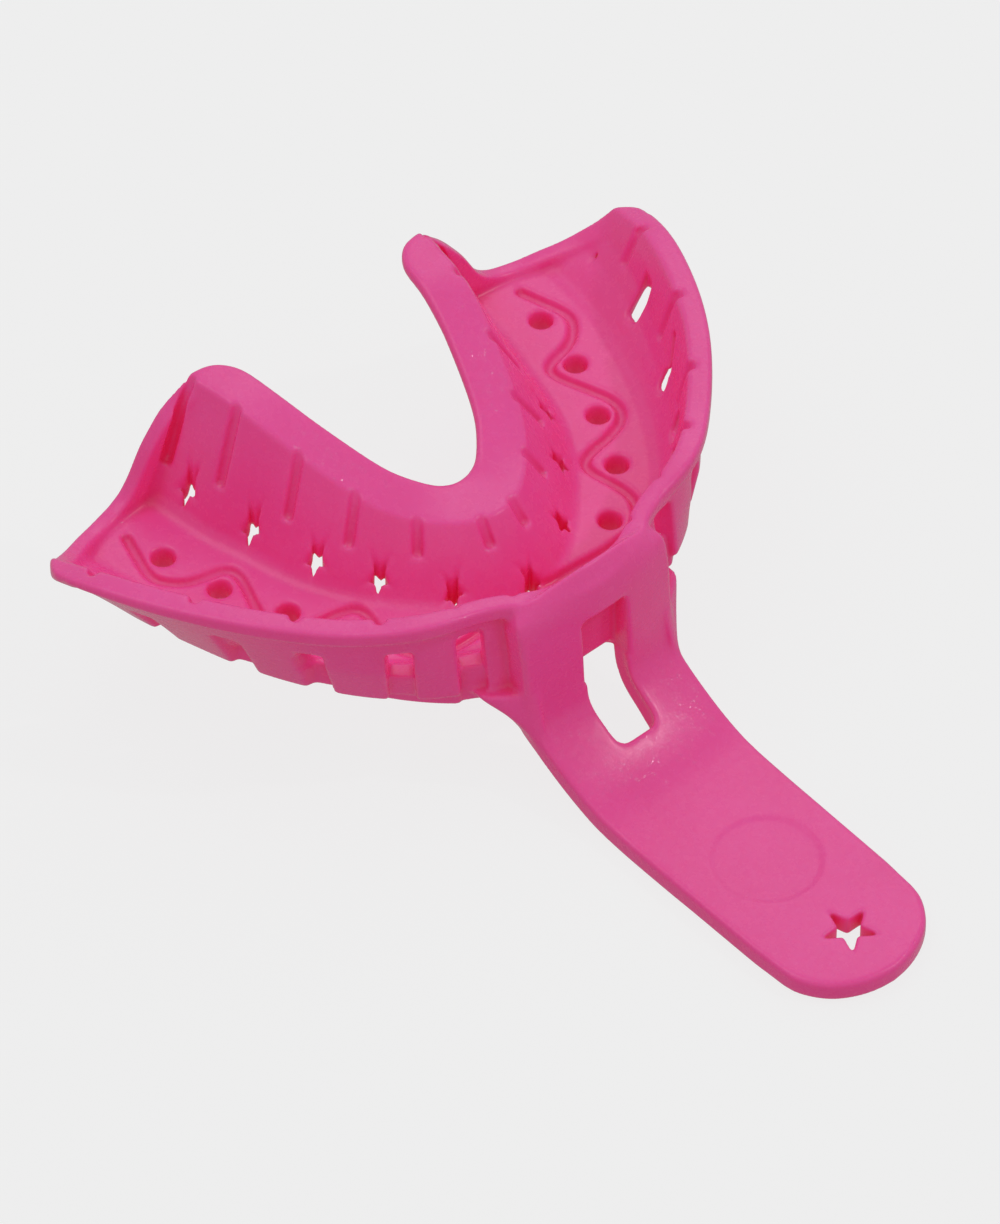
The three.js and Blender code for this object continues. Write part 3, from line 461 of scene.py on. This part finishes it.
def cut_slot(side, u, width, top, depth, low, high, extras):
    """Recess in the outer face and an opening through the wall into the trough."""
    skirt = at_station(sec.skirt, u)
    centre = place(side * u, skirt + 0.3, 0)
    w, X, Y, Z = window(centre - [9, 7, 6], centre + [9, 7, 10])
    x, y, angle = station(side * u)
    along = (X - x) * math.cos(angle) + (Y - y) * math.sin(angle)
    out = (X - x) * math.sin(angle) - (Y - y) * math.cos(angle)
    trough = np.interp(Z, *wall_at(TROUGH_OUTER, u))
    if extras is None:       # front slots are square to the wall
        recess_off = opening_off = side * along - 0.05 * (Z - 2)
        recess_half, opening_half, reach = width / 2, width / 2 * 0.92, SLOT_REACH
        skin = np.interp(Z, *wall_at(OUTER_FACE[::-1], u)) - depth
    else:                    # side slots are square to the arm
        opening_half, reach, recess_shift, opening_shift, tilt, wall = extras
        recess_off = Y - centre[1] - recess_shift
        opening_off = Y - centre[1] + (opening_shift + (Z - low) * tilt)
        recess_half = width / 2 * math.sin(station(u)[2])
        skin = np.maximum(skirt - depth, trough + wall * np.clip((Z - 0.4) / 0.8, 0, 1)
                          - 9 * np.clip((0.4 - Z) / 0.4, 0, 1))
    recess = soft_max(np.abs(recess_off) - recess_half, Z - top, 0.5)
    recess = soft_max(soft_max(recess, skin - out, 0.3), out - reach, 0.3)
    opening = soft_max(np.abs(opening_off) - opening_half,
                       np.abs(Z - (high + low) / 2) - (high - low) / 2, 0.5)
    opening = soft_max(opening, np.maximum(trough - 0.8 - out, out - reach), 0.2)
    carve(w, np.where(np.abs(along) < 6, np.minimum(recess, opening), 5.0), 0.3)


for u, *sizes in SLOTS:
    for s in SIDES:
        cut_slot(s, u, *sizes)

# ------------------------------------------------------------------ join
grip, leg_line = grip_body()
tray = soft_min(tray, backing_body(), 0.6)
tray = soft_min(tray, grip, 0.6)
del grip

# gussets between the leg and the underside of the arch
for s in SIDES:
    w, X, Y, Z = window((8.0, -13, -9), (14.5, -3.5, -1), s)
    x = s * X
    edge = (x - np.interp(Z, GUSSET_Z, GUSSET_X)) * 0.85
    plane = Y - 0.75 * (x - 9.6) - 0.3 * Z + 8.75
    gusset = soft_max(edge, np.abs(plane - 0.15) - 1.15, 0.5)
    gusset = soft_max(gusset, np.maximum(8.6 - x, Z + 1.4), 0.4)
    tray[w] = soft_min(tray[w], gusset.astype(np.float32), 0.5)

# window of the leg: an upright part, and a lower part that narrows towards -Y and with depth
w, X, Y, Z = window((-6, -21, -15.4), (6, -6, 8))
upright = soft_max(np.abs(X) - WIN_HALF, Z - WIN_TOP, 0.9)
upright = soft_max(upright, np.maximum(Y - WIN_BACK_Y, -3.2 - Z), 0.3)
half = WIN_HALF + (WIN_END_HALF - WIN_HALF) * np.clip((-10.5 - Y) / 5.7, 0, 1)
half = half - 0.28 * np.clip(line_distance(leg_line, Y, Z)[0], 0, GRIP_T)
lower = soft_max(np.abs(X) - half, WIN_END_Y - Y, 1.5)
lower = soft_max(lower, np.maximum(Y + 8.75, Z + 2.3), 0.3)
carve(w, np.minimum(upright, lower), 0.5)

# ------------------------------------------------------------------ holes and stars
for x, y in HOLES:
    for s in SIDES:
        w, X, Y, Z = window((s * x - 3, y - 3, -6), (s * x + 3, y + 3, 4))
        radius = HOLE_R + 0.1 - 0.12 * np.clip(-Z, 0, 3.5)      # tapers downwards
        carve(w, np.hypot(X - s * x, Y - y) - radius, 0.4)


def star_field(X, Y, x, y, radius, turn, ratio):
    """Five-pointed star; ratio is its inner radius over its outer one."""
    points = []
    for i in range(10):
        r = radius if i % 2 == 0 else radius * ratio
        angle = turn + i * math.pi / 5
        points.append((x + r * math.cos(angle), y + r * math.sin(angle)))
    return polygon_field(points, X, Y)


for x, y, angle in STARS:
    for s in (SIDES if x else (1,)):
        turn = math.radians(angle - 90)
        w, X, Y, Z = window((s * x - 3, y - 3, -6), (s * x + 3, y + 3, 8))
        star = star_field(X, Y, s * x, y, radius=STAR_R + 0.1,
                          turn=turn if s > 0 else math.pi - turn, ratio=0.32)
        carve(w, star, 0.06)
w, X, Y, Z = window((-5, -52.5, -15), (5, -43, -8))
star = star_field(X, Y, *GRIP_STAR, radius=GRIP_STAR_R + 0.25, turn=math.pi / 2, ratio=0.37)
carve(w, star, 0.12)


# ------------------------------------------------------------------ grooves
def groove(u, start, end, width, depth, soft=0.25):
    """A round-bottomed groove along a straight line on a wall."""
    w, X, Y, Z = window(np.minimum(start, end) - 2.5, np.maximum(start, end) + 2.5)
    a, ab = start, end - start
    t = ((X - a[0]) * ab[0] + (Y - a[1]) * ab[1] + (Z - a[2]) * ab[2]) / float(ab @ ab)
    t = np.clip(t, 0, 1)
    dx, dy, dz = X - a[0] - t * ab[0], Y - a[1] - t * ab[1], Z - a[2] - t * ab[2]
    angle = station(u)[2]
    along = dx * math.cos(angle) + dy * math.sin(angle)
    rest = np.sqrt(np.maximum(dx * dx + dy * dy + dz * dz - along * along, 0))
    carve(w, soft_max(np.abs(along) - width / 2, rest - depth, 0.45), soft)


for u, low in INNER_GROOVES:
    root, root_z, wall = (at_station(v, u) for v in (sec.root, sec.root_z, sec.in_high))
    if low >= HIGH_Z:
        end = wall + (root - wall) * ((low - HIGH_Z) / (root_z - HIGH_Z))
    else:
        end = wall + (HIGH_Z - low) * 0.42
    for s in SIDES:
        groove(s * u, place(s * u, root - 0.05, root_z + 0.6), place(s * u, end + 0.1, low),
               GROOVE_W, depth=0.72, soft=0.18)
for u in OUTER_GROOVES:
    rim, rim_z, wall = (at_station(v, u) for v in (sec.rim_in, sec.rim_z, sec.out_high))
    for s in SIDES:
        if u > 3:            # a notch over the rim's inner edge
            groove(s * u, place(s * u, rim + 0.5, rim_z + 0.35),
                   place(s * u, rim - 0.1, rim_z - 0.6), GROOVE_W, depth=0.65)
        groove(s * u, place(s * u, rim + (0.15 if u > 3 else -0.1), rim_z + 0.5),
               place(s * u, wall - 0.25 + (0.0 if u < 5 else 0.1), 4.2),
               GROOVE_W - 0.15, depth=0.6)
for (u0, out0, z0), (u1, out1, z1) in SLANTED_GROOVES:
    for s in SIDES:
        groove(s * (u0 + u1) / 2, place(s * u0, out0, z0), place(s * u1, out1, z1),
               width=1.0, depth=0.62)

# weaving line in the trough floor
for s in SIDES:
    w, X, Y, Z = window((-31, -5, -1.6), (31, 35, 3))
    distance = line_distance(eased_line(TRACK, 5), s * X, Y)[0]
    track = soft_max(distance - TRACK_W / 2, -(Z + TRACK_DEPTH), 0.8)
    carve(w, np.where(s * X > -0.4, track, 5.0), 0.35)

# faint round recess in the top of the grip
w, X, Y, Z = window((-8, -44, -12.6), (8, -28, -9))
grip_top = GRIP[-1][1]
carve(w, soft_max(np.hypot(X, Y - RECESS_Y) - RECESS_R, grip_top - RECESS_DEPTH - Z, 0.3), 0.3)


# ------------------------------------------------------------------ mesh
def blur(cells):
    for axis in range(3):
        below, above, middle = [slice(None)] * 3, [slice(None)] * 3, [slice(None)] * 3
        below[axis], above[axis], middle[axis] = slice(0, -2), slice(2, None), slice(1, -1)
        below, above, middle = tuple(below), tuple(above), tuple(middle)
        out = cells.copy()
        out[middle] = (cells[below] + cells[above] + 2 * cells[middle]) / 4
        cells = out
    return cells


def polygonise():
    """Surface of the tray field as points and quads."""
    grid = vdb.FloatGrid(float(BAND * STEP))
    grid.copyFromArray(tray.astype(np.float32), ijk=FIRST_CELL)
    grid.transform = vdb.createLinearTransform(voxelSize=STEP)
    points, tris, quads = grid.convertToPolygons(isovalue=0.0, adaptivity=0.0)
    points, quads = np.array(points, float), np.array(quads, np.int64)
    if len(tris):
        tris = np.array(tris, np.int64)
        quads = np.vstack([quads, np.column_stack([tris, tris[:, 2]])])
    return points, quads


def largest_body(points, quads):
    """Keeps the largest connected body."""
    label = np.arange(len(points))
    start, end = quads.ravel(), np.roll(quads, -1, 1).ravel()
    for _ in range(400):
        low = np.minimum(label[start], label[end])
        new = label.copy()
        np.minimum.at(new, start, low)
        np.minimum.at(new, end, low)
        new = new[new]
        new = new[new]
        if (new == label).all():
            break
        label = new
    bodies, counts = np.unique(label, return_counts=True)
    keep = label == bodies[counts.argmax()]
    remap = np.cumsum(keep) - 1
    return points[keep], remap[quads[keep[quads[:, 0]]]]


def trilinear(cells, places):
    """Values of a grid at places given in cells."""
    i = np.clip(np.floor(places).astype(int), 0, np.array(cells.shape) - 2)
    f = np.clip(places - i, 0, 1)
    total = 0
    for dx in (0, 1):
        for dy in (0, 1):
            for dz in (0, 1):
                weight = ((f[:, 0] if dx else 1 - f[:, 0]) * (f[:, 1] if dy else 1 - f[:, 1])
                          * (f[:, 2] if dz else 1 - f[:, 2]))
                total = total + weight * cells[i[:, 0] + dx, i[:, 1] + dy, i[:, 2] + dz]
    return total


def sample(points):
    return trilinear(tray, points / STEP - FIRST)


def gradient(points, reach):
    return np.stack([sample(points + d) - sample(points - d) for d in np.eye(3) * reach], 1)


SKIN_GROWTH = 0.08                       # makes up for what the blur takes off
tray = blur(tray) - np.float32(SKIN_GROWTH)
points, quads = largest_body(*polygonise())

# outward winding
corner = points[quads]
normals = np.cross(corner[:, 2] - corner[:, 0], corner[:, 3] - corner[:, 1])
if np.einsum("ij,ij->i", normals, gradient(corner.mean(1), STEP)).sum() < 0:
    quads = quads[:, ::-1]
# settle the vertices on the field
for _ in range(2):
    slope = gradient(points, STEP * 0.6) / (1.2 * STEP)
    points -= slope * (sample(points) / np.maximum((slope * slope).sum(1), 0.25))[:, None] * 0.9

# centred on the CAD piece in X and Y, with the same lowest point
cad_lo, cad_hi = [np.array(v) * 1000 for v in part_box(NODE)]
lo, hi = points.min(0), points.max(0)
shift = (cad_lo + cad_hi - lo - hi) / 2
shift[2] = cad_lo[2] - lo[2]

mesh = bpy.data.meshes.new("tray_body")
mesh.vertices.add(len(points))
mesh.vertices.foreach_set("co", ((points + shift) / 1000).ravel())
mesh.loops.add(len(quads) * 4)
mesh.loops.foreach_set("vertex_index", quads.ravel())
mesh.polygons.add(len(quads))
mesh.polygons.foreach_set("loop_start", np.arange(0, len(quads) * 4, 4))
mesh.polygons.foreach_set("loop_total", np.full(len(quads), 4))
mesh.update(calc_edges=True)
mesh.validate()
body = bpy.data.objects.new("tray_body", mesh)
bpy.context.scene.collection.objects.link(body)

TRIANGLE_LIMIT = 196000
triangles = 2 * len(quads)
if triangles > TRIANGLE_LIMIT:
    thin = body.modifiers.new("thin", "DECIMATE")
    thin.ratio = TRIANGLE_LIMIT / triangles
    bpy.context.view_layer.update()
    graph = bpy.context.evaluated_depsgraph_get()
    mesh = bpy.data.meshes.new_from_object(body.evaluated_get(graph))
    body.modifiers.clear()
    body.data = mesh
    mesh.name = "tray_body"
mesh.polygons.foreach_set("use_smooth", np.ones(len(mesh.polygons), bool))
coords = np.empty(len(mesh.vertices) * 3)
mesh.vertices.foreach_get("co", coords)
coords = coords.reshape(-1, 3) * 1000 - shift
normals = gradient(coords, STEP * 0.75)
normals /= np.maximum(np.linalg.norm(normals, axis=1), 1e-9)[:, None]
mesh.normals_split_custom_set_from_vertices([tuple(n) for n in normals])

# painted crease shade: how closed in each place is, as the share of solid 0.7 mm in front of it,
# on a grid half as fine; the material darkens these places
share = np.clip(0.5 - tray[::2, ::2, ::2] / (2 * STEP), 0, 1).astype(np.float32)
for _ in range(7):
    share = blur(share)
painted_crease_shade = trilinear(share, ((coords + normals * 0.7) / STEP - FIRST) / 2)
crease_shade_layer = mesh.attributes.new("painted_crease_shade", "FLOAT", "POINT")
crease_shade_layer.data.foreach_set("value", painted_crease_shade.astype(np.float32))
del tray, share

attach(body, "root")
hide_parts(NODE)


# ------------------------------------------------------------------ plastic
def set_inputs(node, values):
    """Sets each named input to a value, or links it to a socket."""
    for name, value in values.items():
        if isinstance(value, bpy.types.NodeSocket):
            node.id_data.links.new(value, node.inputs[name])
        else:
            node.inputs[name].default_value = value


def add_node(tree, kind, inputs=None, **settings):
    node = tree.nodes.new(kind)
    for key, value in settings.items():
        setattr(node, key, value)
    set_inputs(node, inputs or {})
    return node


def pink_plastic():
    mat = bpy.data.materials.new("pink_plastic")
    mat.use_nodes = True
    tree = mat.node_tree
    coord = add_node(tree, "ShaderNodeTexCoord").outputs["Object"]

    def noise(scale, detail, roughness):
        return add_node(tree, "ShaderNodeTexNoise", {
            "Scale": scale, "Detail": detail, "Roughness": roughness,
            "Vector": coord}).outputs["Fac"]

    def ramp(source, span, to):
        return add_node(tree, "ShaderNodeMapRange", {
            "From Min": span[0], "From Max": span[1], "To Min": to[0], "To Max": to[1],
            "Value": source}).outputs["Result"]

    def mix(a, b, factor, blend="MIX"):
        return add_node(tree, "ShaderNodeMix", {"A": a, "B": b, "Factor": factor},
                        data_type="RGBA", blend_type=blend).outputs["Result"]

    def bump(strength, distance, height):
        return add_node(tree, "ShaderNodeBump", {
            "Strength": strength, "Distance": distance, "Height": height})

    # slow colour drift of the melt, and fine mottling
    flow = noise(scale=90, detail=3, roughness=0.55)
    mottle = noise(scale=900, detail=3, roughness=0.6)
    grain = noise(scale=4200, detail=2, roughness=0.6)
    colour = mix((0.64, 0.087, 0.365, 1), (0.67, 0.097, 0.395, 1),
                 factor=ramp(flow, span=(0.35, 0.65), to=(0, 1)))
    colour = mix(colour, (0.67, 0.112, 0.41, 1),
                 factor=ramp(mottle, span=(0.5, 0.75), to=(0, 0.25)))
    # painted shade: the colour is made darker and redder in creases and hollows, where less
    # light reaches
    crease_shade_factor = add_node(tree, "ShaderNodeAttribute", attribute_name="painted_crease_shade").outputs["Fac"]
    colour = mix(colour, (0.85, 0.42, 0.44, 1), blend="MULTIPLY",
                 factor=ramp(crease_shade_factor, span=(0.26, 0.52), to=(0, 0.9)))
    fine = bump(strength=0.10, distance=0.00006, height=grain)
    broad = bump(strength=0.08, distance=0.0002, height=mottle)
    set_inputs(fine, {"Normal": broad.outputs["Normal"]})
    # spark-eroded texture that glitters where the light glances off
    spark = bump(strength=0.9, distance=0.00006,
                 height=noise(scale=5200, detail=0, roughness=0.5))
    set_inputs(tree.nodes["Principled BSDF"], {
        "Base Color": colour,
        "Roughness": ramp(mottle, span=(0.3, 0.7), to=(0.22, 0.31)),
        "IOR": 1.38,
        "Specular IOR Level": 0.36,
        "Coat IOR": 1.38,
        "Coat Weight": 0.6,
        "Coat Roughness": 0.08,
        # painted glow: a red emission stands in for light carried through the moulding
        "Emission Color": (1.0, 0.0, 0.03, 1),
        "Emission Strength": 0.23,
        "Subsurface Weight": 0.2,
        "Subsurface Radius": (1.0, 0.12, 0.2),
        "Subsurface Scale": 0.0015,
        "Normal": fine.outputs["Normal"],
        "Coat Normal": spark.outputs["Normal"]})
    return mat


plastic = pink_plastic()
for data in [mesh] + [piece.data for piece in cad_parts.values()]:
    data.materials.clear()
    data.materials.append(plastic)


# ------------------------------------------------------------------ stage, in metres
def camera_switch(tree, others, camera):
    """One strength for camera rays and another for all other rays."""
    path = add_node(tree, "ShaderNodeLightPath")
    return add_node(tree, "ShaderNodeMapRange", {
        "To Min": others, "To Max": camera,
        "Value": path.outputs["Is Camera Ray"]}).outputs["Result"]


def pale_floor():
    mat = bpy.data.materials.new("pale_floor")
    mat.use_nodes = True
    tree = mat.node_tree
    tree.nodes.clear()
    out = add_node(tree, "ShaderNodeOutputMaterial")
    glow = add_node(tree, "ShaderNodeEmission", {
        "Color": (1, 1, 1, 1), "Strength": camera_switch(tree, others=0.32, camera=0.875)})
    matt = add_node(tree, "ShaderNodeBsdfDiffuse", {"Color": (0.86, 0.86, 0.86, 1)})
    blend = add_node(tree, "ShaderNodeMixShader", {"Fac": 0.08})
    tree.links.new(glow.outputs["Emission"], blend.inputs[1])
    tree.links.new(matt.outputs["BSDF"], blend.inputs[2])
    set_inputs(out, {"Surface": blend.outputs["Shader"]})
    return mat


floor_mesh = bpy.data.meshes.new("floor")
floor_mesh.from_pydata([(-6, -6, 0), (6, -6, 0), (6, 6, 0), (-6, 6, 0)], [], [(0, 1, 2, 3)])
floor = bpy.data.objects.new("floor", floor_mesh)
floor.location = (0, 0, cad_lo[2] / 1000 - 0.0002)
bpy.context.scene.collection.objects.link(floor)
floor_mesh.materials.append(pale_floor())

world = bpy.data.worlds.new("studio")
world.use_nodes = True
# the backdrop looks about as pale as the floor
set_inputs(world.node_tree.nodes["Background"], {
    "Color": (1, 1, 1, 1),
    "Strength": camera_switch(world.node_tree, others=0.47, camera=0.84)})
world.node_tree.nodes["Background"].inputs["Strength"].default_value = 0.47
bpy.context.scene.world = world

centre = Vector(((cad_lo + cad_hi) / 2000).tolist())


def softbox(name, direction, distance, size, power):
    """Square area light aimed at the tray's centre."""
    toward = Vector(direction).normalized()
    light = bpy.data.lights.new(name, "AREA")
    light.energy = power
    light.size = size
    lamp = bpy.data.objects.new(name, light)
    lamp.location = centre + toward * distance
    lamp.rotation_euler = toward.to_track_quat("Z", "Y").to_euler()
    bpy.context.scene.collection.objects.link(lamp)


softbox("key", direction=(-0.25, 0.35, 1.0), distance=0.8, size=0.5, power=0.88)
softbox("front", direction=(-0.5, -0.6, 0.45), distance=0.9, size=0.5, power=0.15)
softbox("fill", direction=(0.6, 0.5, 0.8), distance=0.9, size=0.4, power=0.5)
softbox("glint", direction=(0.45, -0.42, 0.80), distance=1.0, size=0.05, power=1.15)

# camera; its lengths are in millimetres
AZIMUTH, ELEVATION = math.radians(-41.2), math.radians(47.5)
DISTANCE = 900.0
VIEW_WIDTH = 123.63636                   # width seen at that distance
OFFSET_RIGHT, OFFSET_UP = 3.11, 2.78     # how far the origin sits off the view's middle
SENSOR = 36.0
back = np.array([math.sin(AZIMUTH) * math.cos(ELEVATION),
                 -math.cos(AZIMUTH) * math.cos(ELEVATION), math.sin(ELEVATION)])
right = np.array([math.cos(AZIMUTH), math.sin(AZIMUTH), 0.0])
up = np.cross(back, right)
eye = (-OFFSET_RIGHT * right - OFFSET_UP * up + DISTANCE * back + shift) / 1000
cam = bpy.data.cameras.new("camera")
cam.sensor_width = SENSOR
cam.sensor_fit = "AUTO"
cam.lens = SENSOR * DISTANCE / VIEW_WIDTH
cam.clip_start = 0.05
cam.clip_end = 20
camera = bpy.data.objects.new("camera", cam)
camera.matrix_world = Matrix([*np.stack([right, up, back, eye], 1).tolist(), [0, 0, 0, 1]])
bpy.context.scene.collection.objects.link(camera)
bpy.context.scene.camera = camera
bpy.context.scene.view_settings.view_transform = "Standard"
bpy.context.scene.view_settings.look = "None"
